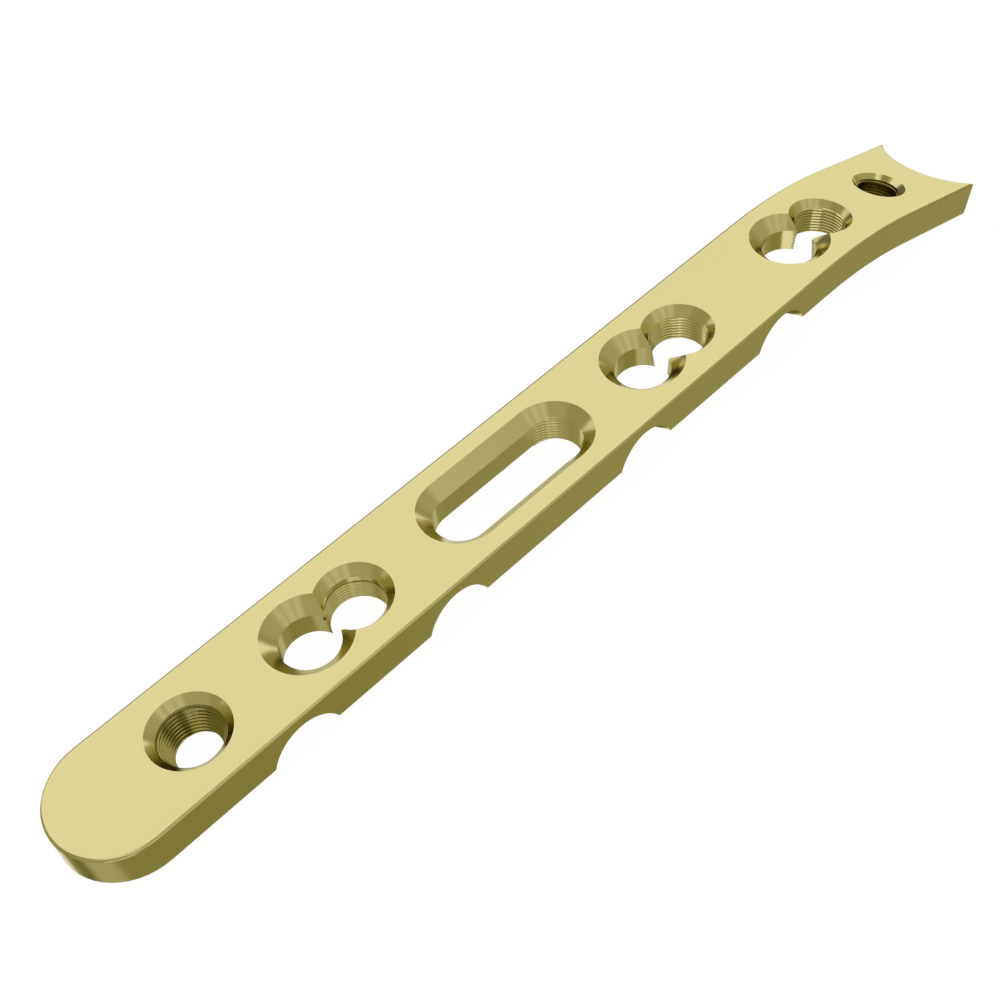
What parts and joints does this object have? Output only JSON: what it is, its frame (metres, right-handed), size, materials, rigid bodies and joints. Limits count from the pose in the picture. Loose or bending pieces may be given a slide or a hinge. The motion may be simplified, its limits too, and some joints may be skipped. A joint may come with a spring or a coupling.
{
  "type": "distal radius locking plate",
  "caption": "Narrow bone plate with a rounded end, a gently bent hollow-cut end, threaded and double-lobed countersunk screw holes, a long slot and scalloped lower edges.",
  "frame": {"origin": "on the axis of the round threaded hole nearest the rounded end, on the underside of the straight shaft", "axes": "+X along the shaft towards the bent end, +Y across the plate, +Z square to the shaft out of the screw side"},
  "size_m": [0.0874, 0.009, 0.007],
  "materials": {
    "anodised_titanium": "pale gold anodised titanium, satin"
  },
  "bodies": {
    "root": {"plate": "anodised_titanium"}
  },
  "joints": []
}
